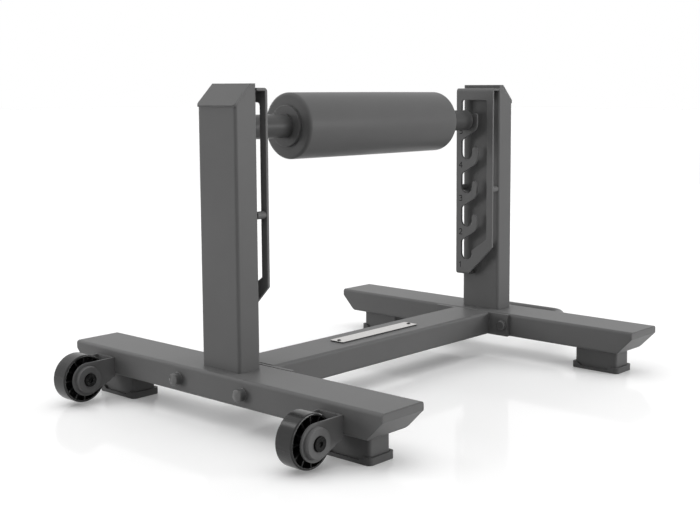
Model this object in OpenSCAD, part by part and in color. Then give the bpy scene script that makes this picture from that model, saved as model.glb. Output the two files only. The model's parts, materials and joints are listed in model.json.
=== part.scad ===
// Split squat stand: two floor runners joined by a bolted crossbeam, two uprights with
// five-step hook plates, and a padded roller whose bar rests in the hooks.
// Millimetres. Origin on the floor, midway between the runners and under the crossbeam.
// +X runs from the wheeled runner to the runner with the lifting handle, -Y is the front.

/* [Frame] */
// Distance between the centre lines of the two runners
track_w = 765; // [700:1:860]
// Length of each floor runner
runner_len = 810; // [780:1:1000]
// Wide side of the steel tube
tube_wide = 100; // [96:1:112]
// Narrow side of the steel tube
tube_narrow = 50; // [46:1:56]
// Wall of the steel tube
tube_wall = 3; // [2:0.5:4]
// Outside corner radius of the steel tube
tube_corner = 6; // [5:0.5:8]
// Height of the runners' underside above the floor
runner_lift = 47.5; // [42:0.5:60]
// Height of the upright face at a runner's end, above its bevel
runner_nose = 15; // [10:1:25]
// Thickness of the plates that close the runners' ends
end_plate_t = 4; // [2:0.5:6]

/* [Uprights] */
// Rise of an upright's cap above the top edge of its hook plate
cap_rise = 7.5; // [4:0.5:30]
// Width of the level part of an upright's cap
cap_flat = 15; // [10:1:25]
// Thickness of the bent sheet of a cap
cap_sheet = 4; // [2:0.5:5]

/* [Hook plates] */
// Height of the lowest hook's seat above the floor
first_seat_z = 208; // [190:0.5:240]
// Step from one hook's seat to the next
hook_pitch = 75.6; // [73:0.1:90]
// Number of hooks
hook_count = 5; // [3:1:6]
// Width of a hook's seat slot
seat_w = 30; // [28:0.5:34]
// Width of a hook's prong
prong_w = 13; // [10:0.5:16]
// Height of a prong's tip above its seat
prong_h = 28.4; // [24:0.1:30]
// Width of the channel that the bar is moved along
channel_w = 28; // [27:0.5:32]
// Width of the plate's front strip
strip_w = 15; // [12:0.5:18]
// Height of the window above the highest seat
window_head = 58.1; // [55:0.1:64]
// Height of the ramp's back end above the lowest seat
ramp_rise = 22; // [18:0.5:27]
// Height of the plate above its window
plate_head = 25.5; // [16:0.5:40]
// Depth of the plate below the lowest seat
plate_foot = 33.8; // [28:0.1:40]
// Size of the cut front lower corner
corner_cut = 67.3; // [50:0.1:68.3]
// Slope of the ramp at the channel's lower end, in degrees
ramp_angle = 34.5; // [30:0.5:40]
// Slope of the underside of a hook's arm, in degrees
arm_angle = 30; // [26:1:33]
// Depth of an arm's underside below its seat, at the seat's front side
arm_depth = 14.5; // [12:0.5:18]
// Radius of an arm's front lower corner
arm_nose_r = 21; // [16:0.5:22]
// Radius where an arm's underside meets the spine
arm_root_r = 8; // [5:0.5:10]
// Radius of the window's corners
window_r = 6; // [3:0.5:8]
// Thickness of the plate
plate_t = 5; // [4:0.5:6]
// Outside bend radius of the plate's flanges
plate_bend_r = 7; // [6:0.5:9]
// Distance from the plate's face to the upright
plate_reach = 24.5; // [19:0.5:30]
// Diameter of the spacers behind the plate
spacer_d = 14; // [10:0.5:15]
// Height of the spacers above the plate's lower edge
spacer_z = 196.5; // [120:0.5:220]

/* [Crossbeam] */
// Thickness of the crossbeam's end flanges
flange_t = 8; // [5:0.5:12]
// Distance from a flange bolt's axis to the flange's end
flange_edge = 14; // [12.5:0.5:28]
// Step from the runner's top and bottom to the flange's edges
flange_inset = 0.75; // [0.25:0.25:3]
// Distance between the two bolts of a flange
bolt_spacing = 172; // [164:1:180]
// Diameter of the flange bolts
bolt_d = 12; // [10:1:14]
// Diameter of a bolt's round head and of its dome nut
bolt_head_d = 22; // [20:0.5:24]
// Thickness of a bolt's head
bolt_head_t = 5.5; // [4:0.5:8]
// Radius round the edge of a bolt's head
bolt_edge_r = 3; // [1:0.5:3.5]
// Height of a dome nut
dome_nut_h = 14; // [12.5:0.5:18]
// Radius round the edge of a dome nut
nut_edge_r = 4.5; // [2:0.5:6]
// Radius of the crown on a dome nut's end
nut_crown_r = 26; // [18:1:60]
// Diameter of the flange washers
washer_d = 24; // [23:0.5:28]
// Thickness of the flange washers
washer_t = 2.5; // [1.5:0.5:4]
// Distance from a rivet to the nameplate's end
rivet_edge = 8.5; // [6:0.5:20]
// Width of the nameplate
nameplate_w = 35; // [26:1:60]
// Thickness of the nameplate
nameplate_t = 2.5; // [1:0.5:3]
// Distance of the nameplate's centre from the middle of the beam
nameplate_x = -3; // [-20:1:20]
// Offset of the nameplate from the beam's centre line, to the back
nameplate_y = -3; // [-8:0.5:8]
// Distance between the nameplate's rivets
rivet_spacing = 211; // [180:1:240]
// Diameter of a rivet's head
rivet_head_d = 9; // [7:0.5:10]

/* [Feet] */
// Distance from a runner's end to the middle of its foot
foot_inset = 99; // [90:1:150]
// Thickness of a shoe's lip
shoe_wall = 4.1; // [1.5:0.1:6]
// Gap between a foot post and the shoe's lip
shoe_gap = 1.6; // [0.5:0.1:2]
// Height of a shoe's lip at its ends
shoe_h = 12.5; // [10:0.5:20]
// Height of a shoe's lip along the middle of its long sides
shoe_low_h = 6.2; // [5.6:0.1:9]
// Radius of a shoe's outer corners
shoe_corner_r = 9; // [7:0.5:10]
// Thickness of a shoe's sole
sole_t = 4.5; // [3:0.5:5.5]

/* [Wheels] */
// Diameter of a wheel
wheel_d = 90; // [84:1:94]
// Width of a wheel
wheel_w = 36; // [28:1:40]
// Height of the wheels' underside above the floor
wheel_lift = 5.3; // [3:0.1:10]
// Distance from the runner's outer face to the wheels' axis
wheel_reach = 60.5; // [56:0.5:70]
// Distance from the runner's rear end to the middle of the rear wheel
rear_wheel_inset = 97.5; // [90:0.5:165]
// Distance from the runner's front end to the middle of the front wheel
front_wheel_inset = 109; // [90:0.5:165]
// Radius round the edges of a wheel's tread
tread_edge_r = 2.5; // [1:0.5:4]
// Thickness of a wheel's rim
rim_t = 4; // [3:0.5:6]
// Number of ribs on each face of a wheel
rib_count = 12; // [8:1:16]
// Thickness of a rib
rib_t = 2; // [1.5:0.1:3]
// Depth of the ribs' edges below the rim's edge
rib_inset = 2.5; // [1:0.5:4]
// Thickness of a fork's sheet
fork_sheet = 4; // [3:0.5:5]
// Gap between a wheel and each side of its fork
fork_gap = 5; // [1.5:0.25:7]
// Radius of a fork's round end
fork_end_r = 31; // [28.5:0.5:36]
// Drop of a fork's root below the runner's underside
fork_drop = 2.5; // [0:0.5:6]
// Diameter of the raised disc on a fork
disc_d = 51; // [44:1:56]
// Thickness of the raised disc
disc_t = 3.5; // [3:0.5:5]
// Width of the slope round the raised disc
disc_slope_w = 3.5; // [1:0.5:6]
// Diameter of a wheel's axle bolt
axle_d = 10; // [8:1:12]
// Diameter of an axle bolt's head
axle_head_d = 24; // [22:0.5:28]

/* [Lifting handle] */
// Diameter of the handle's tube
handle_d = 26.5; // [20:0.5:28]
// Wall of the handle's tube
handle_wall = 2.5; // [2:0.5:3]
// Distance between the handle's legs
handle_w = 260; // [240:1:360]
// Distance from the runner to the handle's centre line
handle_reach = 77.5; // [70:0.5:100]
// Bend radius of the handle's centre line
handle_bend_r = 32; // [26:1:40]

/* [Roller] */
// Diameter of the roller's pad
roller_d = 125.8; // [110:0.1:140]
// Length of the roller's pad
roller_len = 438; // [380:1:480]
// Radius of the pad's rounded ends
pad_edge_r = 7; // [4:0.5:12]
// Outside diameter of the roller's core tube
core_d = 60; // [56:1:64]
// Wall of the core tube
core_wall = 3; // [2:0.5:4]
// Diameter of the roller's end discs
end_disc_d = 78; // [72:1:88]
// Height of an end disc above the pad's end
end_disc_t = 6; // [4:0.5:9]
// Diameter of the bar
bar_d = 25.4; // [22:0.1:26]
// Wall of the bar
bar_wall = 4; // [3:0.5:5]
// Diameter of the collars on the bar
collar_d = 45; // [38:0.5:52]
// Side play between a collar and its hook plate
collar_play = 7; // [3:0.5:12]
// Gap between the bar's end and the upright
bar_end_gap = 7.5; // [4:0.5:12]

/* [Hidden] */
$fn = 64;

// Clearances
fit_gap = 0.1;
running_gap = 0.08;
bolt_play = 0.5;
rest_gap = 0.3;
roller_side_gap = 0.6;
over = 1;

// Frame
runner_x = track_w / 2;
runner_top = runner_lift + tube_narrow;
runner_mid_z = runner_lift + tube_narrow / 2;
runner_in = runner_x - tube_wide / 2;
runner_out = runner_x + tube_wide / 2;
upright_in = runner_x - tube_narrow / 2;
beam_len = 2 * (runner_in - flange_t);
flange_w = bolt_spacing + 2 * flange_edge;
dome_wall = 3;
bolt_tip_gap = 1;

// Hook plates, in the plate's own plane: first value along Y, second along Z
plate_w = tube_wide;
spine_w = plate_w - strip_w - channel_w - prong_w - seat_w;
plate_x = upright_in - plate_reach;
window_back_y = plate_w / 2 - spine_w;
window_front_y = strip_w - plate_w / 2;
seat_y = window_back_y - seat_w / 2;
prong_back_y = window_back_y - seat_w;
prong_front_y = prong_back_y - prong_w;
top_seat_z = first_seat_z + (hook_count - 1) * hook_pitch;
window_top = top_seat_z + window_head;
ramp_z = first_seat_z + ramp_rise;
plate_top = window_top + plate_head;
plate_bottom = first_seat_z - plate_foot;
upright_top = plate_top + cap_rise;

// Feet
foot_y = runner_len / 2 - foot_inset;
shoe_len = tube_wide + 2 * (shoe_gap + shoe_wall);
shoe_w = tube_narrow + 2 * (shoe_gap + shoe_wall);
lip_start = 15;
lip_end = 23.5;

// Wheels
rear_wheel_y = runner_len / 2 - rear_wheel_inset;
front_wheel_y = runner_len / 2 - front_wheel_inset;
wheel_x = -runner_out - wheel_reach;
wheel_z = wheel_lift + wheel_d / 2;
fork_w = wheel_w + 2 * (fork_gap + fork_sheet);
fork_root_z = runner_lift - fork_drop - wheel_z;
axle_head_t = 5;
axle_socket_af = 8;
axle_socket_t = 3;
disc_recess = 1.5;
recess_play = 1.5;
hub_d = 26;
bush_d = 16;
bush_side_gap = 0.5;
nut_t = 8;
nut_af = 17;
bolt_tip = 2;

// Roller
bar_z = top_seat_z + bar_d / 2 + rest_gap;
bar_len = 2 * (upright_in - bar_end_gap);
collar_start = roller_len / 2 + end_disc_t + roller_side_gap;
collar_len = plate_x - collar_play - collar_start;
bush_wall = 3.2;
bush_out_d = bar_d + 2 * bush_wall;
hub_len = 24;

// Nameplate
rivet_d = 4.8;
nameplate_len = rivet_spacing + 2 * rivet_edge;

// Plain shapes

module rounded(w, h, r) {
    square([w - 2 * r, h], center = true);
    square([w, h - 2 * r], center = true);
    for (sx = [-1, 1], sy = [-1, 1])
        translate([sx * (w / 2 - r), sy * (h / 2 - r)]) circle(r);
}

module tube_outline(w, h) {
    difference() {
        rounded(w, h, tube_corner);
        rounded(w - 2 * tube_wall, h - 2 * tube_wall, tube_corner - tube_wall);
    }
}

module ring(d_out, d_in, h) {
    difference() {
        cylinder(d = d_out, h = h);
        translate([0, 0, -over]) cylinder(d = d_in, h = h + 2 * over);
    }
}

// Turns an outline in X and Z into a solid along Y, centred
module along_y(len) {
    rotate([90, 0, 0]) linear_extrude(len, center = true) children();
}

// Turns an outline in Y and Z into a solid from x0 to x1
module along_x(x0, x1) {
    translate([x0, 0, 0]) rotate([90, 0, 90]) linear_extrude(x1 - x0) children();
}

module both_sides() {
    children();
    mirror([1, 0, 0]) children();
}

module front_and_back(y) {
    for (side = [-1, 1]) translate([0, side * y, 0]) children();
}

// Runners

// Side view of the space a runner fills, drawn in from its ends by t
module runner_side(t) {
    nose_y = runner_len / 2 - t;
    bevel = tube_narrow - runner_nose + over;
    bevel_shift = t * (sqrt(2) - 1);
    low_y = nose_y - bevel - bevel_shift;
    polygon([
        [-nose_y, runner_top + over], [nose_y, runner_top + over],
        [nose_y, runner_top - runner_nose + bevel_shift],
        [low_y + bevel_shift, runner_lift - over + bevel_shift],
        [low_y, runner_lift - over],
        [-low_y, runner_lift - over],
        [-low_y - bevel_shift, runner_lift - over + bevel_shift],
        [-nose_y, runner_top - runner_nose + bevel_shift]
    ]);
}

module runner() {
    difference() {
        intersection() {
            translate([runner_x, 0, runner_mid_z])
                along_y(runner_len + 2 * over) tube_outline(tube_wide, tube_narrow);
            along_x(runner_in - over, runner_out + over) runner_side(0);
        }
        front_and_back(bolt_spacing / 2)
            translate([runner_in - over, 0, runner_mid_z]) rotate([0, 90, 0])
                cylinder(d = bolt_d + 2 * bolt_play, h = tube_wide + 2 * over);
    }
}

module runner_end_plates() {
    bore_w = tube_wide - 2 * (tube_wall + fit_gap);
    bore_h = tube_narrow - 2 * (tube_wall + fit_gap);
    difference() {
        intersection() {
            translate([runner_x, 0, runner_mid_z])
                along_y(runner_len + 2 * over) rounded(bore_w, bore_h, tube_corner - tube_wall);
            along_x(runner_in, runner_out) runner_side(0);
        }
        along_x(runner_in, runner_out) runner_side(end_plate_t);
    }
}

// Uprights

// Front view of the space under a cap's sheet, drawn in from its top by t
module upright_front(t, side) {
    bend_x = cap_flat - tube_narrow / 2 - t * (sqrt(2) - 1);
    polygon([
        [-side, runner_top - over], [-side, upright_top - t],
        [bend_x, upright_top - t], [side, upright_top - t - (side - bend_x)],
        [side, runner_top - over]
    ]);
}

module upright() {
    intersection() {
        translate([runner_x, 0, runner_top])
            linear_extrude(upright_top - runner_top) tube_outline(tube_narrow, tube_wide);
        translate([runner_x, 0, 0])
            along_y(tube_wide + 2 * over) upright_front(cap_sheet, tube_narrow / 2 + over);
    }
}

// The cap's lower edge is cut square to its sheet, so its outer side stands past the upright
module upright_cap() {
    side = tube_narrow / 2;
    lip = cap_sheet / sqrt(2);
    bend_x = cap_flat - side;
    low_bend_x = bend_x - cap_sheet * (sqrt(2) - 1);
    low_z = upright_top - cap_sheet - (side - low_bend_x);
    translate([runner_x, 0, 0]) intersection() {
        along_y(tube_wide) polygon([
            [-side, upright_top], [bend_x, upright_top], [side + lip, low_z + lip],
            [side, low_z], [low_bend_x, upright_top - cap_sheet],
            [-side, upright_top - cap_sheet]
        ]);
        translate([lip / 2, 0, runner_top]) linear_extrude(upright_top - runner_top + over)
            rounded(tube_narrow + lip, tube_wide, tube_corner);
    }
}

// Hook plates

// Fills a corner of the window where two edges meet at 120 degrees, leaving a round of r.
// The corner lies at the origin, with one edge straight down and one up to the front.
module corner_fill(r, edge_angle) {
    opening = 90 + edge_angle;
    reach = r / tan(opening / 2);
    centre = [-r, -reach];
    difference() {
        polygon([[over, reach], [over, -reach], [0, -reach], centre,
                 [-reach * cos(edge_angle), reach * sin(edge_angle)],
                 [-reach * cos(edge_angle), reach * sin(edge_angle) + over]]);
        translate(centre) circle(r);
    }
}

module seat_slot(h) {
    translate([0, seat_w / 2]) circle(d = seat_w);
    translate([-seat_w / 2, seat_w / 2]) square([seat_w, h - seat_w / 2]);
}

// One hook's arm and prong; the origin is the seat's lowest point
module hook_arm() {
    back = seat_w / 2;
    front = -back - prong_w;
    tip_z = prong_h - prong_w / 2;
    slope = tan(arm_angle);
    back_z = -arm_depth - seat_w * slope;
    nose_z = -arm_depth + prong_w * slope + arm_nose_r * tan((90 - arm_angle) / 2);
    nose = [front + arm_nose_r, nose_z];
    difference() {
        union() {
            translate(nose) circle(arm_nose_r);
            polygon([
                [front, nose_z], [front, tip_z], [-back, tip_z], [-back, seat_w / 2],
                [back + over, seat_w / 2], [back + over, back_z - over * slope],
                [nose[0] - arm_nose_r * sin(arm_angle), nose_z - arm_nose_r * cos(arm_angle)],
                nose
            ]);
            translate([front + prong_w / 2, tip_z]) circle(d = prong_w);
            translate([back, back_z]) corner_fill(arm_root_r, arm_angle);
        }
        seat_slot(prong_h + seat_w);
    }
}

module hook_window() {
    window_w = window_back_y - window_front_y;
    ramp_top_z = ramp_z + (prong_back_y - window_front_y) * tan(ramp_angle);
    difference() {
        union() {
            translate([seat_y, first_seat_z]) seat_slot(seat_w);
            translate([window_front_y, first_seat_z + seat_w / 2])
                square([window_w, window_top - window_r - first_seat_z - seat_w / 2]);
            translate([window_front_y + window_r, window_top - 2 * window_r])
                square([window_w - 2 * window_r, 2 * window_r]);
            for (y = [window_front_y + window_r, window_back_y - window_r])
                translate([y, window_top - window_r]) circle(window_r);
        }
        polygon([
            [window_front_y - over, first_seat_z], [prong_back_y, first_seat_z],
            [prong_back_y, ramp_z], [window_front_y, ramp_top_z],
            [window_front_y - over, ramp_top_z]
        ]);
        for (i = [1:hook_count - 1])
            translate([seat_y, first_seat_z + i * hook_pitch]) hook_arm();
    }
}

module plate_outline() {
    front = -plate_w / 2;
    back = plate_w / 2;
    polygon([
        [front, plate_bottom + corner_cut], [front + corner_cut, plate_bottom],
        [back, plate_bottom], [back, plate_top], [front, plate_top]
    ]);
}

// Section of the bent sheet, from the plate's face to the upright
module plate_section() {
    h = plate_top - plate_bottom;
    inner_r = plate_bend_r - plate_t;
    depth = plate_reach + plate_bend_r;
    difference() {
        translate([depth / 2, 0]) rounded(depth, h, plate_bend_r);
        translate([plate_t + depth / 2, 0]) rounded(depth, h - 2 * plate_t, inner_r);
        translate([plate_reach, -h]) square([depth, 2 * h]);
    }
}

module hook_plate() {
    difference() {
        intersection() {
            translate([plate_x, 0, (plate_top + plate_bottom) / 2])
                along_y(plate_w + 2 * over) plate_section();
            along_x(plate_x - over, upright_in + over) plate_outline();
        }
        along_x(plate_x - over, plate_x + plate_t + over) hook_window();
    }
}

module spacer_pair() {
    strip_mid = (strip_w - plate_w) / 2;
    spine_mid = (plate_w - spine_w) / 2;
    for (y = [strip_mid, spine_mid])
        translate([plate_x + plate_t, y, plate_bottom + spacer_z]) rotate([0, 90, 0])
            cylinder(d = spacer_d, h = plate_reach - plate_t);
}

// Crossbeam and its bolts

module beam_flange() {
    difference() {
        translate([runner_in - flange_t, -flange_w / 2, runner_lift + flange_inset])
            cube([flange_t, flange_w, tube_narrow - 2 * flange_inset]);
        front_and_back(bolt_spacing / 2)
            translate([runner_in - flange_t - over, 0, runner_mid_z]) rotate([0, 90, 0])
                cylinder(d = bolt_d + 2 * bolt_play, h = flange_t + 2 * over);
    }
}

// Half section of a round head with a rounded edge, for turning about its axis
module button_half(r, h, edge_r) {
    square([r, h - edge_r]);
    square([r - edge_r, h]);
    translate([r - edge_r, h - edge_r]) intersection() {
        circle(edge_r);
        square(edge_r);
    }
}

// A bolt along +X; the origin is the middle of its head's underside
module flange_bolt() {
    shank = 2 * washer_t + flange_t + tube_wide + dome_nut_h - dome_wall - bolt_tip_gap;
    rotate([0, 90, 0]) cylinder(d = bolt_d, h = shank);
    rotate([0, -90, 0]) rotate_extrude() button_half(bolt_head_d / 2, bolt_head_t, bolt_edge_r);
}

// A dome nut on +X; the origin is the middle of its seat
module dome_nut() {
    difference() {
        rotate([0, 90, 0]) rotate_extrude() intersection() {
            button_half(bolt_head_d / 2, dome_nut_h, nut_edge_r);
            translate([0, dome_nut_h - nut_crown_r]) circle(nut_crown_r);
        }
        translate([-over, 0, 0]) rotate([0, 90, 0])
            cylinder(d = bolt_d + 2 * fit_gap, h = dome_nut_h - dome_wall + over);
    }
}

module washer() {
    r = washer_d / 2;
    bevel = 0.6;
    rotate([0, 90, 0]) difference() {
        rotate_extrude() polygon([
            [0, 0], [r - bevel, 0], [r, bevel], [r, washer_t - bevel], [r - bevel, washer_t],
            [0, washer_t]
        ]);
        translate([0, 0, -over]) cylinder(d = bolt_d + 2 * bolt_play, h = washer_t + 2 * over);
    }
}

module at_flange_bolts(x) {
    both_sides() front_and_back(bolt_spacing / 2)
        translate([x, 0, runner_mid_z]) children();
}

// Feet

module foot_post() {
    translate([runner_x, 0, sole_t])
        linear_extrude(runner_lift - sole_t) tube_outline(tube_narrow, tube_wide);
}

module foot_shoe() {
    lip_r = tube_corner + shoe_gap;
    notch_top = shoe_h + over;
    slope = (lip_end - lip_start) / (shoe_h - shoe_low_h);
    top_y = shoe_len / 2 - lip_start + over * slope;
    low_y = shoe_len / 2 - lip_end;
    translate([runner_x, 0, 0]) difference() {
        linear_extrude(shoe_h) rounded(shoe_w, shoe_len, shoe_corner_r);
        translate([0, 0, sole_t]) linear_extrude(shoe_h)
            rounded(tube_narrow + 2 * shoe_gap, tube_wide + 2 * shoe_gap, lip_r);
        along_x(-shoe_w, shoe_w)
            polygon([[-top_y, notch_top], [-low_y, shoe_low_h],
                     [low_y, shoe_low_h], [top_y, notch_top]]);
    }
}

module at_foot(side_x, side_y) {
    translate([0, side_y * foot_y, 0]) mirror([side_x < 0 ? 1 : 0, 0, 0]) children();
}

// Wheels: the origin of these shapes is the middle of the wheel

// Side view of a fork: a round end, a level top edge and a lower edge tangent to the end
module fork_side() {
    root_dist = norm([wheel_reach, fork_root_z]);
    touch = atan2(fork_root_z, wheel_reach) - acos(fork_end_r / root_dist);
    circle(fork_end_r);
    polygon([
        [0, 0], [fork_end_r * cos(touch), fork_end_r * sin(touch)],
        [wheel_reach, fork_root_z], [wheel_reach, fork_end_r], [0, fork_end_r]
    ]);
}

module wheel_fork() {
    inside = fork_w - 2 * fork_sheet;
    difference() {
        union() {
            front_and_back((fork_w - fork_sheet) / 2) along_y(fork_sheet) fork_side();
            translate([wheel_reach - fork_sheet, -inside / 2 - over, fork_root_z])
                cube([fork_sheet, inside + 2 * over, fork_end_r - fork_root_z]);
        }
        rotate([90, 0, 0]) cylinder(d = axle_d + 2 * fit_gap, h = fork_w + over, center = true);
    }
}

module fork_disc() {
    edge_h = 1;
    translate([0, -fork_w / 2, 0]) rotate([90, 0, 0]) difference() {
        union() {
            cylinder(d = disc_d, h = edge_h);
            translate([0, 0, edge_h])
                cylinder(d1 = disc_d, d2 = disc_d - 2 * disc_slope_w, h = disc_t - edge_h);
        }
        translate([0, 0, -over]) cylinder(d = axle_d + 2 * fit_gap, h = disc_t + 2 * over);
        translate([0, 0, disc_t - disc_recess])
            cylinder(d = axle_head_d + 2 * recess_play, h = disc_recess + over);
    }
}

module axle_bolt() {
    head_y = -fork_w / 2 - disc_t + disc_recess;
    chamfer = 1;
    shank = fork_w + disc_t - disc_recess + nut_t + bolt_tip;
    translate([0, head_y, 0]) rotate([-90, 0, 0]) cylinder(d = axle_d, h = shank);
    translate([0, head_y, 0]) rotate([90, 0, 0]) difference() {
        union() {
            cylinder(d = axle_head_d, h = axle_head_t - chamfer);
            translate([0, 0, axle_head_t - chamfer])
                cylinder(d1 = axle_head_d, d2 = axle_head_d - 2 * chamfer, h = chamfer);
        }
        translate([0, 0, axle_head_t - axle_socket_t])
            cylinder(d = axle_socket_af / cos(30), h = axle_socket_t + over, $fn = 6);
    }
}

module axle_nut() {
    translate([0, fork_w / 2, 0]) rotate([-90, 0, 0]) difference() {
        cylinder(d = nut_af / cos(30), h = nut_t, $fn = 6);
        translate([0, 0, -over]) cylinder(d = axle_d + 2 * fit_gap, h = nut_t + 2 * over);
    }
}

module wheel() {
    web_t = 5;
    rim_in = wheel_d / 2 - rim_t;
    half = wheel_w / 2;
    difference() {
        union() {
            rotate([90, 0, 0]) rotate_extrude() {
                translate([0, -half]) square([hub_d / 2, wheel_w]);
                translate([0, -web_t / 2]) square([rim_in + over, web_t]);
                intersection() {
                    translate([rim_in, 0]) rounded(2 * rim_t, wheel_w, min(tread_edge_r, rim_t - 0.5));
                    translate([rim_in, -half]) square([rim_t, wheel_w]);
                }
            }
            for (i = [0:rib_count - 1])
                rotate([0, i * 360 / rib_count, 0])
                    translate([hub_d / 2 - over, rib_inset - half, -rib_t / 2])
                        cube([rim_in - hub_d / 2 + 2 * over, wheel_w - 2 * rib_inset, rib_t]);
        }
        rotate([90, 0, 0]) cylinder(d = bush_d + 2 * fit_gap, h = wheel_w + over, center = true);
    }
}

module wheel_bush() {
    bush_len = wheel_w + 2 * (fork_gap - bush_side_gap);
    translate([0, bush_len / 2, 0]) rotate([90, 0, 0])
        ring(bush_d, axle_d + 2 * running_gap, bush_len);
}

module at_rear_wheel() {
    translate([wheel_x, rear_wheel_y, wheel_z]) children();
}

module at_front_wheel() {
    translate([wheel_x, -front_wheel_y, wheel_z]) children();
}

// Sub-parts of the frame

module left_runner() {
    color("#5c5c5e") mirror([1, 0, 0]) runner();
}

module right_runner() {
    color("#5c5c5e") runner();
}

module left_runner_end_plates() {
    color("#666668") mirror([1, 0, 0]) runner_end_plates();
}

module right_runner_end_plates() {
    color("#666668") runner_end_plates();
}

module left_upright() {
    color("#5c5c5e") mirror([1, 0, 0]) upright();
}

module right_upright() {
    color("#5c5c5e") upright();
}

module left_upright_cap() {
    color("#666668") mirror([1, 0, 0]) upright_cap();
}

module right_upright_cap() {
    color("#666668") upright_cap();
}

module left_hook_plate() {
    color("#4e4e50") mirror([1, 0, 0]) hook_plate();
}

module right_hook_plate() {
    color("#4e4e50") hook_plate();
}

module hook_plate_spacers() {
    color("#4e4e50") both_sides() spacer_pair();
}

module crossbeam() {
    color("#5c5c5e") difference() {
        along_x(-beam_len / 2, beam_len / 2)
            translate([0, runner_mid_z]) tube_outline(tube_wide, tube_narrow);
        for (side = [-1, 1])
            translate([nameplate_x + side * rivet_spacing / 2, nameplate_y, runner_top - tube_wall - over])
                cylinder(d = rivet_d + 2 * fit_gap, h = tube_wall + 2 * over);
    }
}

module left_beam_flange() {
    color("#666668") mirror([1, 0, 0]) beam_flange();
}

module right_beam_flange() {
    color("#666668") beam_flange();
}

module flange_bolts() {
    color("#3c3c3e") at_flange_bolts(runner_in - flange_t - washer_t) flange_bolt();
}

module flange_washers() {
    color("#3c3c3e") {
        at_flange_bolts(runner_in - flange_t - washer_t) washer();
        at_flange_bolts(runner_out) washer();
    }
}

module flange_dome_nuts() {
    color("#3c3c3e") at_flange_bolts(runner_out + washer_t) dome_nut();
}

module left_front_foot_post() {
    color("#5c5c5e") at_foot(-1, -1) foot_post();
}

module left_rear_foot_post() {
    color("#5c5c5e") at_foot(-1, 1) foot_post();
}

module right_front_foot_post() {
    color("#5c5c5e") at_foot(1, -1) foot_post();
}

module right_rear_foot_post() {
    color("#5c5c5e") at_foot(1, 1) foot_post();
}

module left_front_foot_shoe() {
    color("#47474a") at_foot(-1, -1) foot_shoe();
}

module left_rear_foot_shoe() {
    color("#47474a") at_foot(-1, 1) foot_shoe();
}

module right_front_foot_shoe() {
    color("#47474a") at_foot(1, -1) foot_shoe();
}

module right_rear_foot_shoe() {
    color("#47474a") at_foot(1, 1) foot_shoe();
}

module rear_wheel_fork() {
    color("#4e4e50") at_rear_wheel() wheel_fork();
}

module front_wheel_fork() {
    color("#4e4e50") at_front_wheel() wheel_fork();
}

module wheel_fork_discs() {
    color("#5c5c5e") {
        at_rear_wheel() fork_disc();
        at_front_wheel() fork_disc();
    }
}

module wheel_axle_bolts() {
    color("#222224") {
        at_rear_wheel() axle_bolt();
        at_front_wheel() axle_bolt();
    }
}

module wheel_axle_nuts() {
    color("#3c3c3e") {
        at_rear_wheel() axle_nut();
        at_front_wheel() axle_nut();
    }
}

module lifting_handle() {
    bar_x = runner_out + handle_reach;
    bend_x = bar_x - handle_bend_r;
    bend_y = handle_w / 2 - handle_bend_r;
    inner_d = handle_d - 2 * handle_wall;
    color("#5c5c5e") translate([0, 0, runner_mid_z]) {
        translate([bar_x, -bend_y, 0]) rotate([-90, 0, 0]) ring(handle_d, inner_d, 2 * bend_y);
        for (side = [-1, 1]) {
            translate([runner_out, side * handle_w / 2, 0]) rotate([0, 90, 0])
                ring(handle_d, inner_d, bend_x - runner_out);
            translate([bend_x, side * bend_y, 0]) rotate([0, 0, side < 0 ? -90 : 0])
                rotate_extrude(angle = 90) translate([handle_bend_r, 0]) difference() {
                    circle(d = handle_d);
                    circle(d = inner_d);
                }
        }
    }
}

module nameplate() {
    corner_r = 4;
    color("#d8d2c4") translate([nameplate_x, nameplate_y, runner_top]) difference() {
        linear_extrude(nameplate_t) rounded(nameplate_len, nameplate_w, corner_r);
        for (side = [-1, 1])
            translate([side * rivet_spacing / 2, 0, -over])
                cylinder(d = rivet_d + 2 * fit_gap, h = nameplate_t + 2 * over);
    }
}

module nameplate_rivets() {
    head_h = 2.2;
    head_r = rivet_head_d / 2;
    dome_r = (head_r * head_r + head_h * head_h) / (2 * head_h);
    shank = nameplate_t + tube_wall;
    color("#3c3c3e") for (side = [-1, 1])
        translate([nameplate_x + side * rivet_spacing / 2, nameplate_y, runner_top + nameplate_t]) {
            translate([0, 0, -shank]) cylinder(d = rivet_d, h = shank);
            intersection() {
                translate([0, 0, head_h - dome_r]) sphere(dome_r);
                cylinder(r = head_r + over, h = head_h + over);
            }
        }
}

// Sub-parts that move

module rear_wheel() {
    color("#303032") at_rear_wheel() wheel();
}

module front_wheel() {
    color("#303032") at_front_wheel() wheel();
}

module rear_wheel_bush() {
    color("#9a9a9c") at_rear_wheel() wheel_bush();
}

module front_wheel_bush() {
    color("#9a9a9c") at_front_wheel() wheel_bush();
}

module on_bar(x) {
    translate([x, seat_y, bar_z]) rotate([0, 90, 0]) children();
}

module roller_bar() {
    color("#58585a") on_bar(-bar_len / 2) ring(bar_d, bar_d - 2 * bar_wall, bar_len);
}

module roller_collars() {
    color("#58585a") both_sides()
        on_bar(collar_start) ring(collar_d, bar_d + 2 * fit_gap, collar_len);
}

module roller_pad() {
    r = roller_d / 2;
    half = roller_len / 2;
    bore_r = core_d / 2 + fit_gap;
    color("#59595b") on_bar(0) rotate_extrude() {
        translate([bore_r, -half]) square([r - pad_edge_r - bore_r, roller_len]);
        translate([bore_r, pad_edge_r - half]) square([r - bore_r, roller_len - 2 * pad_edge_r]);
        for (side = [-1, 1])
            translate([r - pad_edge_r, side * (half - pad_edge_r)]) circle(pad_edge_r);
    }
}

module roller_core_tube() {
    color("#8c8c8e") on_bar(-roller_len / 2) ring(core_d, core_d - 2 * core_wall, roller_len);
}

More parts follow.
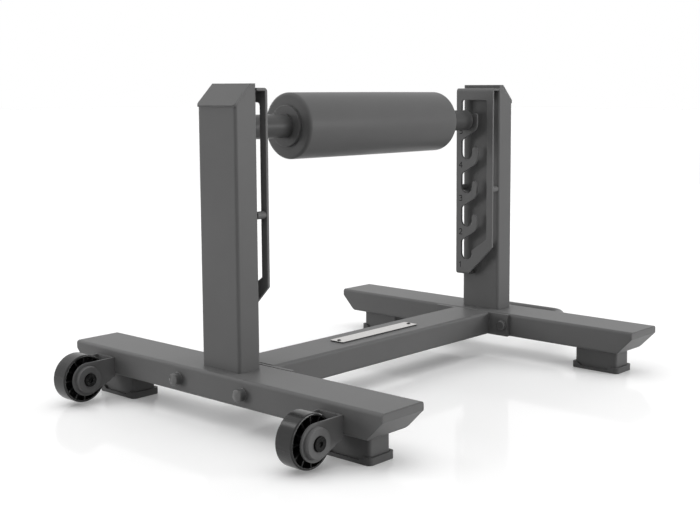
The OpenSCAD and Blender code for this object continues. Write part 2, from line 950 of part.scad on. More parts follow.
// An end disc: a raised flange on the pad's end, and a hub inside the core tube
module roller_end_discs() {
    edge_r = 1.5;
    hub_r = core_d / 2 - core_wall - fit_gap;
    seat_r = bush_out_d / 2 + fit_gap;
    disc_r = end_disc_d / 2;
    color("#4a4a4c") both_sides() on_bar(roller_len / 2) rotate_extrude() {
        translate([seat_r, 0]) square([disc_r - seat_r, end_disc_t - edge_r]);
        translate([seat_r, 0]) square([disc_r - edge_r - seat_r, end_disc_t]);
        translate([disc_r - edge_r, end_disc_t - edge_r]) circle(edge_r);
        translate([seat_r, -hub_len]) square([hub_r - seat_r, hub_len + over]);
    }
}

module roller_bushes() {
    bush_len = hub_len + end_disc_t;
    color("#2c2c2e") both_sides()
        on_bar(roller_len / 2 - hub_len) ring(bush_out_d, bar_d + 2 * running_gap, bush_len);
}

left_runner();
right_runner();
left_runner_end_plates();
right_runner_end_plates();
left_upright();
right_upright();
left_upright_cap();
right_upright_cap();
left_hook_plate();
right_hook_plate();
hook_plate_spacers();
crossbeam();
left_beam_flange();
right_beam_flange();
flange_bolts();
flange_washers();
flange_dome_nuts();
left_front_foot_post();
left_rear_foot_post();
right_front_foot_post();
right_rear_foot_post();
left_front_foot_shoe();
left_rear_foot_shoe();
right_front_foot_shoe();
right_rear_foot_shoe();
rear_wheel_fork();
front_wheel_fork();
wheel_fork_discs();
wheel_axle_bolts();
wheel_axle_nuts();
rear_wheel();
front_wheel();
rear_wheel_bush();
front_wheel_bush();
lifting_handle();
nameplate();
nameplate_rivets();
roller_bar();
roller_collars();
roller_pad();
roller_core_tube();
roller_end_discs();
roller_bushes();
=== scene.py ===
import json
import math

import bmesh
import bpy
import numpy as np
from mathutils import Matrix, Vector


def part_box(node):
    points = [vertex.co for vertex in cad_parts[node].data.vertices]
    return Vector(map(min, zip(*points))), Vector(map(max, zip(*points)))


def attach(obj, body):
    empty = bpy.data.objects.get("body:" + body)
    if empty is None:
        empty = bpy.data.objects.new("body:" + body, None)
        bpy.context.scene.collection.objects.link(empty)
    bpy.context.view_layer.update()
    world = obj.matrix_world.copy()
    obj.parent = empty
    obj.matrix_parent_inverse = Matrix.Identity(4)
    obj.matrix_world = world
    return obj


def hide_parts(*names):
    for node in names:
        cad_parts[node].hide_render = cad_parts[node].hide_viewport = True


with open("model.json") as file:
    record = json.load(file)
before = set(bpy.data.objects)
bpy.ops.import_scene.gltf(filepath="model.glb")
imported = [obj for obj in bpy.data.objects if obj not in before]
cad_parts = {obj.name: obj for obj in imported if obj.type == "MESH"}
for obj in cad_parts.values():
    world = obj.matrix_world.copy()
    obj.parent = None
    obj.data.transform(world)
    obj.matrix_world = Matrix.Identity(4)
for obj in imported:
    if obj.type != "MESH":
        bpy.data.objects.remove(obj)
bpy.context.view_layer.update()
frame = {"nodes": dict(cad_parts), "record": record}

# Split squat stand: finishes, padded roller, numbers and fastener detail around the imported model.
# Metres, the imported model's own frame: floor at z = 0, the front is -Y.

nodes = frame["nodes"]
print("frame loaded:", len(nodes), "nodes")


# Camera, as in the photograph

lookout = {
    "place": (-1.69698, -1.53408, 0.58937),
    "yaw": 49.96,                # degrees from +Y towards +X
    "pitch": -6.21,
    "lens": 58.505,
    "sensor": 36,
    "shift": (-0.0934, -0.0711),
    "farEnd": 200,
}


def makeCamera(v):
    yaw, pitch = math.radians(v["yaw"]), math.radians(v["pitch"])
    level = math.cos(pitch)
    forward = Vector((math.sin(yaw) * level, math.cos(yaw) * level, math.sin(pitch)))
    lens = bpy.data.cameras.new("photoCamera")
    lens.lens = v["lens"]
    lens.sensor_width = v["sensor"]
    lens.shift_x, lens.shift_y = v["shift"]
    lens.clip_end = v["farEnd"]
    camera = bpy.data.objects.new("photoCamera", lens)
    camera.location = v["place"]
    camera.rotation_mode = "QUATERNION"
    camera.rotation_quaternion = forward.to_track_quat("-Z", "Y")
    bpy.context.scene.collection.objects.link(camera)
    bpy.context.scene.camera = camera


makeCamera(lookout)
bpy.context.scene.view_settings.view_transform = "Standard"
print("camera placed")


# Shader helpers

def put(tree, kind, sockets=None, **settings):
    # adds a node; sockets maps an input's name or number to a value or to another node's output
    made = tree.nodes.new(kind)
    for key, value in settings.items():
        setattr(made, key, value)
    for key, value in (sockets or {}).items():
        if isinstance(value, bpy.types.NodeSocket):
            tree.links.new(value, made.inputs[key])
        else:
            made.inputs[key].default_value = value
    return made


def maths(tree, operation, a, b=0.0, clamp=False):
    return put(tree, "ShaderNodeMath", {0: a, 1: b}, operation=operation, use_clamp=clamp).outputs[0]


def blend(tree, a, b, share):
    # a weighted sum of two values, share being the weight of the first
    return maths(tree, "ADD", maths(tree, "MULTIPLY", a, share), maths(tree, "MULTIPLY", b, 1 - share))


def noise(tree, where, scale, detail, rough=0.5, output="Fac"):
    return put(tree, "ShaderNodeTexNoise", {"Vector": where, "Scale": scale, "Detail": detail,
                                            "Roughness": rough}).outputs[output]


def mix(tree, mask, a, b):
    # two colours, each three numbers or another node's output, mixed by a mask
    made = put(tree, "ShaderNodeMix", {"Factor": mask}, data_type="RGBA")
    for label, value in (("A", a), ("B", b)):
        if isinstance(value, bpy.types.NodeSocket):
            tree.links.new(value, made.inputs[label])
        else:
            made.inputs[label].default_value = (*value, 1)
    return made.outputs["Result"]


def spread(tree, mask, low, high):
    # a number that runs from low to high with a mask
    return put(tree, "ShaderNodeMapRange", {"Value": mask, "To Min": low, "To Max": high}).outputs["Result"]


def grey(shade, warm=0.0):
    return (shade * (1 + warm), shade, shade * (1 - warm))


def startGroup(name, inputs, outputs):
    # an effect as a node group; inputs are (kind, name, value), outputs are (kind, name)
    tree = bpy.data.node_groups.new(name, "ShaderNodeTree")
    for kind, label, value in inputs:
        socket = tree.interface.new_socket(label, in_out="INPUT", socket_type="NodeSocket" + kind)
        if value is not None:
            socket.default_value = value
    for kind, label in outputs:
        tree.interface.new_socket(label, in_out="OUTPUT", socket_type="NodeSocket" + kind)
    return tree, tree.nodes.new("NodeGroupInput").outputs, tree.nodes.new("NodeGroupOutput").inputs


def placeGroup(tree, group, sockets):
    return put(tree, "ShaderNodeGroup", sockets, node_tree=group).outputs


# Effects

def makeCoatGrain():
    # fine orange peel of a baked powder coat, with slow clouds of tone and gloss
    tree, given, out = startGroup(
        "coatGrain",
        [("Vector", "Vector", None), ("Float", "Peel", 700.0), ("Float", "Finer", 2.7),
         ("Float", "Cloud", 9.0)],
        [("Float", "Height"), ("Float", "Tone"), ("Float", "Gloss")])
    fine = maths(tree, "MULTIPLY", given["Peel"], given["Finer"])
    peel = noise(tree, given["Vector"], given["Peel"], detail=2.0, rough=0.55)
    speck = noise(tree, given["Vector"], fine, detail=1.0)
    cloud = noise(tree, given["Vector"], given["Cloud"], detail=3.0, rough=0.6)
    tree.links.new(blend(tree, peel, speck, share=0.7), out["Height"])
    tree.links.new(blend(tree, cloud, speck, share=0.75), out["Tone"])
    tree.links.new(blend(tree, cloud, peel, share=0.5), out["Gloss"])
    return tree


def makeSoftEdges():
    # rounds sharp edges for the light, and masks a thin strip along them
    tree, given, out = startGroup(
        "softEdges",
        [("Float", "Radius", 0.001), ("Float", "Reach", 4.0)],
        [("Vector", "Normal"), ("Float", "Edge")])
    rounded = put(tree, "ShaderNodeBevel", {"Radius": given["Radius"]}, samples=4).outputs["Normal"]
    flat = put(tree, "ShaderNodeNewGeometry").outputs["Normal"]
    agree = put(tree, "ShaderNodeVectorMath", {0: rounded, 1: flat}, operation="DOT_PRODUCT").outputs["Value"]
    bend = maths(tree, "SUBTRACT", 1.0, agree)
    tree.links.new(rounded, out["Normal"])
    tree.links.new(maths(tree, "MULTIPLY", bend, given["Reach"], clamp=True), out["Edge"])
    return tree


def makePaintedCornerShade():
    # 1 in the open, falling towards 0 in corners and narrow gaps; the coats darken their colour by it, which
    # paints shade into corners and gaps
    tree, given, out = startGroup("paintedCornerShade", [("Float", "Reach", 0.03)], [("Float", "Open")])
    seen = put(tree, "ShaderNodeAmbientOcclusion", {"Distance": given["Reach"]}, samples=6).outputs["AO"]
    tree.links.new(seen, out["Open"])
    return tree


def makeStreaks():
    # long fine scratches along X, as on brushed or drawn metal
    tree, given, out = startGroup(
        "streaks",
        [("Vector", "Vector", None), ("Float", "Across", 1500.0), ("Float", "Along", 12.0)],
        [("Float", "Line")])
    across = given["Across"]
    stretch = put(tree, "ShaderNodeCombineXYZ", {0: given["Along"], 1: across, 2: across}).outputs[0]
    squeezed = put(tree, "ShaderNodeVectorMath", {0: given["Vector"], 1: stretch},
                   operation="MULTIPLY").outputs[0]
    tree.links.new(noise(tree, squeezed, 1.0, detail=3.0, rough=0.6), out["Line"])
    return tree


def makeVinylGrain():
    # pebbled grain of a vinyl cover: cells with soft valleys, bent by noise, and slow clouds of tone
    tree, given, out = startGroup(
        "vinylGrain",
        [("Vector", "Vector", None), ("Float", "Pebble", 620.0), ("Float", "Warp", 0.0012),
         ("Float", "Warp Scale", 160.0), ("Float", "Cloud", 14.0)],
        [("Float", "Height"), ("Float", "Tone")])
    bent = noise(tree, given["Vector"], given["Warp Scale"], detail=2.0, output="Color")
    nudge = put(tree, "ShaderNodeVectorMath", {0: bent, "Scale": given["Warp"]}, operation="SCALE").outputs[0]
    moved = put(tree, "ShaderNodeVectorMath", {0: given["Vector"], 1: nudge}, operation="ADD").outputs[0]
    cell = put(tree, "ShaderNodeTexVoronoi", {"Vector": moved, "Scale": given["Pebble"]},
               feature="SMOOTH_F1").outputs["Distance"]
    tree.links.new(maths(tree, "SUBTRACT", 1.0, cell), out["Height"])
    tree.links.new(noise(tree, given["Vector"], given["Cloud"], detail=4.0), out["Tone"])
    return tree


coatGrain = makeCoatGrain()
softEdges = makeSoftEdges()
paintedCornerShade = makePaintedCornerShade()
streaks = makeStreaks()
vinylGrain = makeVinylGrain()
print("effects built")


# Materials

def startMaterial(name):
    material = bpy.data.materials.new(name)
    material.use_nodes = True
    tree = material.node_tree
    tree.nodes.clear()
    shader = put(tree, "ShaderNodeBsdfPrincipled")
    put(tree, "ShaderNodeOutputMaterial", {"Surface": shader.outputs[0]})
    where = put(tree, "ShaderNodeTexCoord").outputs["Object"]
    return material, tree, shader, where


def raiseGrain(tree, shader, height, depth, normal=None):
    # a height that runs from 0 to 1, depth metres high, as the surface's normal
    bump = put(tree, "ShaderNodeBump", {"Height": height, "Distance": depth, "Strength": 1.0})
    if normal is not None:
        tree.links.new(normal, bump.inputs["Normal"])
    tree.links.new(bump.outputs[0], shader.inputs["Normal"])


def setRoughness(tree, shader, mask, rough, swing):
    tree.links.new(spread(tree, mask, rough - swing, rough + swing), shader.inputs["Roughness"])


def coatedMetal(name, shade, rough, peel=700.0, depth=0.00001, edge=0.0012, paintedEdgeHighlight=0.12, ior=1.23,
                paintedShadeDepth=0.12, reach=0.015):
    # shade is the base colour, peel and depth the grain's scale and its height in metres, edge the
    # rounding in metres, rub how far the edges turn light as a painted highlight, and dusk how dark a
    # corner turns within reach of another face as painted shade
    material, tree, shader, where = startMaterial(name)
    toneSwing, edgeShade = 0.1, 2.2
    grain = placeGroup(tree, coatGrain, {"Vector": where, "Peel": peel})
    edges = placeGroup(tree, softEdges, {"Radius": edge})
    base = mix(tree, grain["Tone"], grey(shade * (1 - toneSwing)), grey(shade * (1 + toneSwing)))
    # painted highlight: a thin strip along each edge is mixed towards a lighter colour
    edgeHighlighted = mix(tree, maths(tree, "MULTIPLY", edges["Edge"], paintedEdgeHighlight), base, grey(shade * edgeShade))
    # painted shade: the colour darkens in corners and narrow gaps, by how little of the open they see
    gap = placeGroup(tree, paintedCornerShade, {"Reach": reach})
    shaded = put(tree, "ShaderNodeVectorMath", {0: edgeHighlighted, "Scale": spread(tree, gap["Open"], 1 - paintedShadeDepth, 1.0)},
                 operation="SCALE")
    tree.links.new(shaded.outputs[0], shader.inputs["Base Color"])
    setRoughness(tree, shader, grain["Gloss"], rough, swing=0.04)
    raiseGrain(tree, shader, grain["Height"], depth, edges["Normal"])
    shader.inputs["IOR"].default_value = ior
    return material


def brushedMetal(name, shade, rough, depth=0.00001, edge=0.0005):
    material, tree, shader, where = startMaterial(name)
    darker, lighter = 0.88, 1.08
    line = placeGroup(tree, streaks, {"Vector": where})["Line"]
    edges = placeGroup(tree, softEdges, {"Radius": edge})
    tree.links.new(mix(tree, line, grey(shade * darker), grey(shade * lighter)), shader.inputs["Base Color"])
    setRoughness(tree, shader, line, rough, swing=0.06)
    raiseGrain(tree, shader, line, depth, edges["Normal"])
    shader.inputs["Metallic"].default_value = 1.0
    return material


def nameplateMetal(name, shade, rough, across=2500.0, cloud=150.0, depth=0.000006):
    # brushed top with clouds from handling, and sides dark and not metallic wherever a face looks less
    # than halfway up; across and cloud are the scales of the scratches and of the clouds
    material, tree, shader, where = startMaterial(name)
    warm, edgeShade, darker, lighter = 0.02, 0.02, 0.86, 1.1
    line = placeGroup(tree, streaks, {"Vector": where, "Across": across})["Line"]
    tone = blend(tree, line, noise(tree, where, cloud, detail=2.0), share=0.4)
    normal = put(tree, "ShaderNodeNewGeometry").outputs["Normal"]
    up = put(tree, "ShaderNodeSeparateXYZ", {0: normal}).outputs["Z"]
    top = maths(tree, "GREATER_THAN", up, 0.5)
    contrast = spread(tree, tone, low=-0.6, high=1.6)
    face = mix(tree, contrast, grey(shade * darker, warm), grey(shade * lighter, warm))
    tree.links.new(mix(tree, top, grey(edgeShade), face), shader.inputs["Base Color"])
    tree.links.new(top, shader.inputs["Metallic"])
    setRoughness(tree, shader, tone, rough, swing=0.06)
    raiseGrain(tree, shader, line, depth)
    return material


def vinyl(name, shade, rough, ior, depth=0.00002):
    material, tree, shader, where = startMaterial(name)
    darker, lighter = 0.93, 1.07
    grain = placeGroup(tree, vinylGrain, {"Vector": where})
    base = mix(tree, grain["Tone"], grey(shade * darker), grey(shade * lighter))
    tree.links.new(base, shader.inputs["Base Color"])
    setRoughness(tree, shader, grain["Tone"], rough, swing=0.04)
    raiseGrain(tree, shader, grain["Height"], depth)
    shader.inputs["IOR"].default_value = ior
    return material


# one finish for each material slot of the record; roller_cover goes on the computed cover below
finishes = {
    "frame_coat": coatedMetal("frameCoat", shade=0.142, rough=0.42),
    # the hook plates carry deeper painted shade in their corners and in the gap to the upright
    "hook_plate_coat": coatedMetal("hookPlateCoat", shade=0.155, rough=0.42, edge=0.0016, paintedShadeDepth=0.4,
                                   reach=0.02),
    "fork_coat": coatedMetal("forkCoat", shade=0.155, rough=0.42, edge=0.0008),
    "bar_coat": coatedMetal("barCoat", shade=0.09, rough=0.36, depth=0.000005),
    "coated_fasteners": coatedMetal("coatedFasteners", shade=0.11, rough=0.2, peel=1200.0, depth=0.000003,
                                    edge=0.0008, paintedEdgeHighlight=0.25, ior=1.5),
    "black_fasteners": coatedMetal("blackFasteners", shade=0.02, rough=0.34, peel=1500.0, depth=0.000004,
                                   edge=0.0006),
    "shoe_rubber": coatedMetal("shoeRubber", shade=0.11, rough=0.5, peel=1100.0, depth=0.00002,
                               edge=0.0008, paintedEdgeHighlight=0.05),
    "wheel_plastic": coatedMetal("wheelPlastic", shade=0.018, rough=0.22, peel=1000.0, depth=0.000004,
                                 edge=0.0008, paintedEdgeHighlight=0.1, ior=1.4),
    "end_disc_plastic": coatedMetal("endDiscPlastic", shade=0.12, rough=0.38, peel=1000.0, depth=0.000006,
                                    edge=0.0006, paintedEdgeHighlight=0.05),
    "bush_plastic": coatedMetal("bushPlastic", shade=0.02, rough=0.35, peel=1200.0, depth=0.000005,
                                edge=0.0004, paintedEdgeHighlight=0.05),
    "bush_steel": brushedMetal("bushSteel", shade=0.55, rough=0.3),
    "core_steel": brushedMetal("coreSteel", shade=0.5, rough=0.35),
    "nameplate_metal": nameplateMetal("nameplateMetal", shade=0.62, rough=0.4),
}

# the frame's coat, a little paler on the runners' sloping end plates: painted light that lifts those faces
paintedLightEndPlateCoat = coatedMetal("paintedLightEndPlateCoat", shade=0.165, rough=0.42)
slotOf = {part["node"]: part["material_slot"] for part in frame["record"]["subparts"]}
for name, node in nodes.items():
    if slotOf[name] in finishes:
        for slot in node.material_slots:
            slot.material = paintedLightEndPlateCoat if name.endswith("end_plates") else finishes[slotOf[name]]
print("finishes set on", len(nodes), "nodes")


# Surfaces

def gridQuads(rows, columns, closedU, closedV):
    u = np.arange(rows if closedU else rows - 1)
    v = np.arange(columns if closedV else columns - 1)
    a = (u[:, None] * columns + v[None, :])
    b = (u[:, None] * columns + (v[None, :] + 1) % columns)
    c = (((u[:, None] + 1) % rows) * columns + (v[None, :] + 1) % columns)
    d = (((u[:, None] + 1) % rows) * columns + v[None, :])
    return np.stack([a, b, c, d], axis=-1).reshape(-1, 4)


def addSurface(name, points, material, closedU=True, closedV=True):
    return addSurfaces(name, [points], material, closedU, closedV)


def addSurfaces(name, grids, material, closedU=False, closedV=True):
    # grids of points [u, v, xyz] made into quads; a closed direction joins its last row to its first,
    # and an end row drawn together in one point becomes a pole of triangles
    mesh = bpy.data.meshes.new(name)
    starts = np.cumsum([0] + [grid.shape[0] * grid.shape[1] for grid in grids])
    quads = np.concatenate([gridQuads(*grid.shape[:2], closedU, closedV) + start
                            for grid, start in zip(grids, starts)])
    points = np.concatenate([grid.reshape(-1, 3) for grid in grids])
    mesh.from_pydata(points.tolist(), [], quads.tolist())
    shape = bmesh.new()
    shape.from_mesh(mesh)
    bmesh.ops.remove_doubles(shape, verts=shape.verts, dist=1e-7)
    bmesh.ops.recalc_face_normals(shape, faces=shape.faces)
    shape.to_mesh(mesh)
    shape.free()
    mesh.polygons.foreach_set("use_smooth", np.ones(len(mesh.polygons), bool))
    mesh.materials.append(material)
    made = bpy.data.objects.new(name, mesh)
    bpy.context.scene.collection.objects.link(made)
    return made


# Roller

roller = {
    "edgeRadius": 0.007,
    "crown": 0.0003,             # how much the pad swells at its middle
    "boreGap": 0.0001,           # between the cover's bore and the core tube
    "around": 320,               # points round the pad
    "edgeSteps": 13,             # points over each rounded edge
    "sideSteps": 58,
    "faceSteps": 8,
    "boreSteps": 18,
    "shade": 0.13,
    "rough": 0.4,
    "ior": 1.2,
}


def makeRoller(r):
    # a closed profile (x, radius) carried round the bar: flat ends from the bore outward, edges of
    # radius edgeRadius, and a side that swells by crown * cos(pi/2 * x / half of its length)
    lo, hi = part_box("roller_pad")
    coreLo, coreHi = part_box("roller_core_tube")
    middle, half = (lo + hi) / 2, (hi.x - lo.x) / 2
    outer, bore = (hi.z - lo.z) / 2, (coreHi.z - coreLo.z) / 2 + r["boreGap"]
    edge = r["edgeRadius"]
    straight, rim = half - edge, outer - edge - r["crown"]
    turn = np.linspace(0, np.pi / 2, r["edgeSteps"])
    side = np.linspace(-straight, straight, r["sideSteps"] + 2)[1:-1]
    swell = r["crown"] * (np.cos(side / straight * np.pi / 2) - 1)
    face = np.linspace(bore, rim, r["faceSteps"] + 1)[:-1]
    inside = np.linspace(half, -half, r["boreSteps"] + 2)[1:-1]
    x = np.concatenate([np.full(face.shape, -half), -straight - edge * np.cos(turn), side,
                        straight + edge * np.sin(turn), np.full(face.shape, half), inside])
    radius = np.concatenate([face, rim + edge * np.sin(turn), outer + swell,
                             rim + edge * np.cos(turn), face[::-1], np.full(inside.shape, bore)])
    angle = np.arange(r["around"]) / r["around"] * 2 * np.pi
    points = np.empty((r["around"], len(x), 3))
    points[:, :, 0] = middle.x + x
    points[:, :, 1] = middle.y + radius * np.cos(angle)[:, None]
    points[:, :, 2] = middle.z + radius * np.sin(angle)[:, None]
    made = addSurface("rollerCover", points, vinyl("rollerVinyl", r["shade"], r["rough"], r["ior"]))
    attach(made, "roller")
    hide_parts("roller_pad")


makeRoller(roller)
print("roller made")


# Hook numbers, 1 at the bottom hook to 5 at the top one

numbers = {
    "high": 0.0125,
    "wide": 0.0092,
    "stroke": 0.0019,            # width of a stroke
    "proud": 0.00012,            # how far a stroke stands out of the plate
    "sunk": 0.0004,              # how far it reaches into the plate
    "gap": 0.0009,               # bridge left at the end of each stroke, as in a stencil
    "behindSeat": 0.0165,        # from a seat's middle back to the digit's middle
    "belowSeat": 0.021,          # from the lower side of a seat's box in the record to the digit's middle
    # near black: painted shade of the cut-through numbers
    "shade": 0.012,
}

# strokes of each digit, from (0, 0) at the lower left to (1, 1) at the upper right
digitStrokes = {
    1: [((0.5, 1.0), (0.5, 0.0)), ((0.15, 0.72), (0.5, 1.0))],
    2: [((0.05, 0.8), (0.35, 1.0)), ((0.35, 1.0), (0.8, 0.95)), ((0.8, 0.95), (0.9, 0.62)),
        ((0.9, 0.62), (0.1, 0.0)), ((0.1, 0.0), (1.0, 0.0))],
    3: [((0.1, 0.95), (0.75, 1.0)), ((0.75, 1.0), (0.85, 0.6)), ((0.85, 0.6), (0.4, 0.54)),
        ((0.85, 0.5), (0.85, 0.1)), ((0.85, 0.1), (0.1, 0.03))],
    4: [((0.7, 1.0), (0.7, 0.0)), ((0.7, 1.0), (0.0, 0.36)), ((0.0, 0.3), (1.0, 0.3))],
    5: [((0.9, 1.0), (0.15, 1.0)), ((0.15, 1.0), (0.12, 0.58)), ((0.12, 0.58), (0.8, 0.6)),
        ((0.8, 0.6), (0.9, 0.15)), ((0.9, 0.15), (0.1, 0.0))],
}


def capsule(start, end, width, proud, sunk, turns=12, steps=9):
    # flattened rod from start to end: the ring's half-width follows sqrt(1 - t^2) over both round ends,
    # where t runs from -1 to 0 over each of them
    along = end - start
    length = np.linalg.norm(along)
    along = along / length
    out = np.array([1.0, 0.0, 0.0])
    across = np.cross(out, along)
    t = np.sin(np.linspace(-np.pi / 2, 0, steps))
    place = np.concatenate([t * width / 2, length - t[::-1] * width / 2])
    size = np.concatenate([np.sqrt(1 - t ** 2), np.sqrt(1 - t[::-1] ** 2)])
    angle = np.arange(turns) / turns * 2 * np.pi
    lift = np.where(np.cos(angle) > 0, proud, sunk) * np.cos(angle)
    aside = size[:, None] * np.sin(angle) * width / 2
    raised = size[:, None] * lift
    return start + along * place[:, None, None] + across * aside[:, :, None] + out * raised[:, :, None]


def makeNumbers(v):
    # the face of each plate that looks towards the roller carries them, upright as seen from there
    # the numbers are near-black strokes on the face: painted shade standing in for the dark seen through
    # numbers cut through the plate
    material = coatedMetal("paintedHoleShade", v["shade"], 0.6, peel=1500.0, depth=0.000004,
                           edge=0.0002, paintedEdgeHighlight=0.0)
    boxes = {opening["name"]: opening["box_m"] for opening in frame["record"]["physics"]["openings"]}
    (low, high), (nextLow, _) = boxes["right_hook_1_seat"], boxes["right_hook_2_seat"]
    pitch = nextLow[2] - low[2]
    seatY, seatZ = (low[1] + high[1]) / 2, low[2]
    for side, node in ((-1, "left_hook_plate"), (1, "right_hook_plate")):
        lo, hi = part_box(node)
        face = lo.x if side > 0 else hi.x
        parts = []
        for digit, strokes in digitStrokes.items():
            middle = np.array([face, seatY + v["behindSeat"], seatZ + (digit - 1) * pitch - v["belowSeat"]])
            for stroke in strokes:
                start, end = [middle + np.array([0, -side * (p - 0.5) * v["wide"], (q - 0.5) * v["high"]])
                              for p, q in stroke]
                bridge = (end - start) / np.linalg.norm(end - start) * v["gap"] / 2
                grid = capsule(start + bridge, end - bridge, v["stroke"], v["proud"], v["sunk"])
                if side > 0:
                    # mirrored in the face, and its rings turned round to keep the faces outward
                    grid[:, :, 0] = 2 * face - grid[:, ::-1, 0]
                    grid[:, :, 1:] = grid[:, ::-1, 1:]
                parts.append(grid)
        made = addSurfaces(node.replace("plate", "numbers"), parts, material)
        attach(made, "frame")


makeNumbers(numbers)
print("hook numbers made")


# Wheel axles: a cupped cover over each fork disc, and a low bolt head with a hexagon socket in it

axle = {
    "coverFoot": 0.0256,         # radius where the cover meets the fork
    "coverFace": 0.0246,
    "coverHigh": 0.004,          # how far the cover stands in front of the plain disc
    "coverBore": 0.0125,
    "coverRound": 0.0011,
    "footHigh": 0.0006,          # straight part of the cover's wall at the fork
    "sunk": 0.0002,              # how far the cover starts in front of the disc's back
    "headRadius": 0.0122,
    "headHigh": 0.0033,          # how far the head stands in front of the cover
    "headSunk": 0.001,           # how far the head reaches behind the cover's face
    "bevel": 0.001,
    "socket": 0.004,             # half the width across its flats
    "socketDeep": 0.003,
    "socketBevel": 0.0004,
    "socketTaper": 0.98,         # width at the socket's floor against its mouth
    "socketTip": 0.0006,         # how far the floor runs down to its middle
    "headShade": 0.004,
    "around": 96,
    "bendSteps": 5,
}


def revolveY(profile, centre, around):
    # profile rows are (radius, y); a radius may be an array with one value for each step of the turn
    angle = np.arange(around) / around * 2 * np.pi
    rows = []
    for r, y in profile:
        x, z = centre[0] + r * np.cos(angle), centre[1] + r * np.sin(angle)
        rows.append(np.stack([x, np.full(around, y), z], axis=-1))
    return np.array(rows)


def ringed(profile, gap=0.0003, most=0.3):
    # extra rings close to both ends of each long step, so that smooth shading leaves its flats flat;
    # a step is long where gap is less than the share most of it
    out = [profile[0]]
    for (r0, y0), (r1, y1) in zip(profile, profile[1:]):
        across, along = np.subtract(r1, r0), y1 - y0
        near = gap / np.max(np.hypot(across, along))
        if near < most:
            out += [(r0 + across * near, y0 + along * near), (r1 - across * near, y1 - along * near)]
        out.append((r1, y1))
    return out


def makeAxles(v):
    # the socket's wall lies at flat / cos(a), where a runs from -30 to 30 degrees over each side
    coat = coatedMetal("axleHeadCoat", v["headShade"], 0.4, peel=1500.0, depth=0.000004, edge=0.0005,
                       paintedEdgeHighlight=0.3, ior=1.2)
    corners = np.array([corner.co[:] for corner in nodes["wheel_fork_discs"].data.vertices])
    angle = np.arange(v["around"]) / v["around"] * 2 * np.pi
    wall = v["socket"] / np.cos((angle + np.pi / 6) % (np.pi / 3) - np.pi / 6)
    turn = np.linspace(0, np.pi / 2, v["bendSteps"])
    for end, disc in (("front", corners[corners[:, 1] < 0]), ("rear", corners[corners[:, 1] > 0])):
        lo, hi = disc.min(axis=0), disc.max(axis=0)
        centre, fork = ((lo[0] + hi[0]) / 2, (lo[2] + hi[2]) / 2), hi[1] - v["sunk"]
        face, bend = lo[1] - v["coverHigh"], v["coverRound"]
        inner = v["coverFace"] - bend
        lip = [(inner + bend * np.cos(t), face + bend - bend * np.sin(t)) for t in turn]
        cover = ([(v["coverFoot"], fork), (v["coverFoot"], fork - v["footHigh"])] + lip
                 + [(v["coverBore"], face), (v["coverBore"], fork)])
        points = revolveY(ringed(cover), centre, v["around"])
        made = addSurface(end + "AxleCover", points, finishes["fork_coat"])
        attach(made, "frame")
        top, radius, bevel = face - v["headHigh"], v["headRadius"], v["bevel"]
        back, floor = face + v["headSunk"], top + v["socketDeep"]
        rim = [(radius - bevel + bevel * np.cos(t), top + bevel - bevel * np.sin(t)) for t in turn]
        socket = [(wall + v["socketBevel"], top), (wall, top + v["socketBevel"]),
                  (wall * v["socketTaper"], floor), (0.0, floor + v["socketTip"])]
        head = [(0.0, back), (radius, back)] + rim + socket
        points = revolveY(ringed(head), centre, v["around"])
        made = addSurface(end + "AxleHead", points, coat, closedU=False)
        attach(made, "frame")


makeAxles(axle)
print("axles dressed")


# Studio

studio = {
    "floorSize": 60.0,
    "floorSeen": 1.0,            # floor colour to the camera and in gloss
    "floorBounce": 0.5,          # floor colour to soft light
    "floorLift": 0.09,           # a little glow seen directly and in gloss, so that the open floor is white
    "floorGloss": 0.1,
    "floorRough": 0.08,
    "floorIor": 1.3,
    "zenith": 1.6,               # strength of the soft light from straight above
    "aim": 0.25,                 # height of the point that the panels face
    "distance": 5.0,             # from that point to each panel
    "panels": [
        # name, degrees round from the front, degrees up, width, height, power in watts, seen in gloss
        ("frontPanel", 30, 7, 1.7, 1.2, 100.0, True),
        ("sidePanel", 92, 10, 1.7, 1.3, 53.0, True),
        ("rearPanel", 180, 10, 1.3, 1.3, 39.0, True),
        ("leftPanel", 232, 8, 2.2, 1.5, 80.0, False),
        ("highPanel", 213, 42, 1.0, 1.0, 11.0, True),
    ],
}


def seenDirectly(tree):
    # 1 for camera, glossy and transmission rays
    path = put(tree, "ShaderNodeLightPath").outputs
    either = maths(tree, "MAXIMUM", path["Is Camera Ray"], path["Is Glossy Ray"])
    return maths(tree, "MAXIMUM", either, path["Is Transmission Ray"])


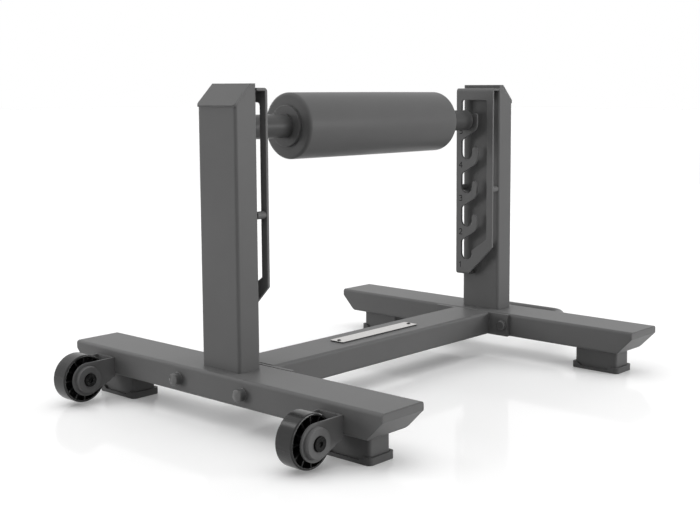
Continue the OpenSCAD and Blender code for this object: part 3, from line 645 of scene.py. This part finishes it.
def makeFloor(s):
    half = s["floorSize"] / 2
    mesh = bpy.data.meshes.new("floor")
    corners = [(-half, -half, 0), (half, -half, 0), (half, half, 0), (-half, half, 0)]
    mesh.from_pydata(corners, [], [(0, 1, 2, 3)])
    floor = bpy.data.objects.new("floor", mesh)
    bpy.context.scene.collection.objects.link(floor)
    material, tree, shader, _ = startMaterial("studioFloor")
    seen = seenDirectly(tree)
    base = mix(tree, seen, grey(s["floorBounce"]), grey(s["floorSeen"]))
    tree.links.new(base, shader.inputs["Base Color"])
    shader.inputs["Roughness"].default_value = s["floorRough"]
    shader.inputs["IOR"].default_value = s["floorIor"]
    shader.inputs["Specular IOR Level"].default_value = s["floorGloss"]
    shader.inputs["Emission Color"].default_value = (1, 1, 1, 1)
    tree.links.new(maths(tree, "MULTIPLY", seen, s["floorLift"]), shader.inputs["Emission Strength"])
    mesh.materials.append(material)


def makeWorld(s):
    # soft light of strength zenith * z^2 from the direction whose height is z, and white where it is
    # seen directly
    world = bpy.data.worlds.new("studio")
    bpy.context.scene.world = world
    world.use_nodes = True
    world.cycles.sampling_method = "NONE"
    tree = world.node_tree
    tree.nodes.clear()
    way = put(tree, "ShaderNodeTexCoord").outputs["Generated"]
    height = put(tree, "ShaderNodeSeparateXYZ", {0: way}).outputs["Z"]
    rise = maths(tree, "MAXIMUM", height, 0.0)
    soft = maths(tree, "MULTIPLY", maths(tree, "POWER", rise, 2.0), s["zenith"])
    strength = put(tree, "ShaderNodeMix", {"Factor": seenDirectly(tree), "A": soft, "B": 1.0},
                   data_type="FLOAT").outputs["Result"]
    shine = put(tree, "ShaderNodeBackground", {"Color": (1, 1, 1, 1), "Strength": strength})
    put(tree, "ShaderNodeOutputWorld", {"Surface": shine.outputs[0]})


def makePanel(name, turn, rise, width, height, watts, glossy, distance, aim):
    light = bpy.data.lights.new(name, "AREA")
    light.shape = "RECTANGLE"
    light.size, light.size_y = width, height
    light.energy = watts
    turn, rise = math.radians(turn), math.radians(rise)
    level = math.cos(rise)
    way = Vector((math.sin(turn) * level, -math.cos(turn) * level, math.sin(rise)))
    lamp = bpy.data.objects.new(name, light)
    lamp.location = way * distance + Vector((0, 0, aim))
    lamp.visible_glossy = glossy
    lamp.rotation_mode = "QUATERNION"
    lamp.rotation_quaternion = (-way).to_track_quat("-Z", "Y")
    bpy.context.scene.collection.objects.link(lamp)


makeFloor(studio)
makeWorld(studio)
for panel in studio["panels"]:
    makePanel(*panel, studio["distance"], studio["aim"])
print("studio lit")
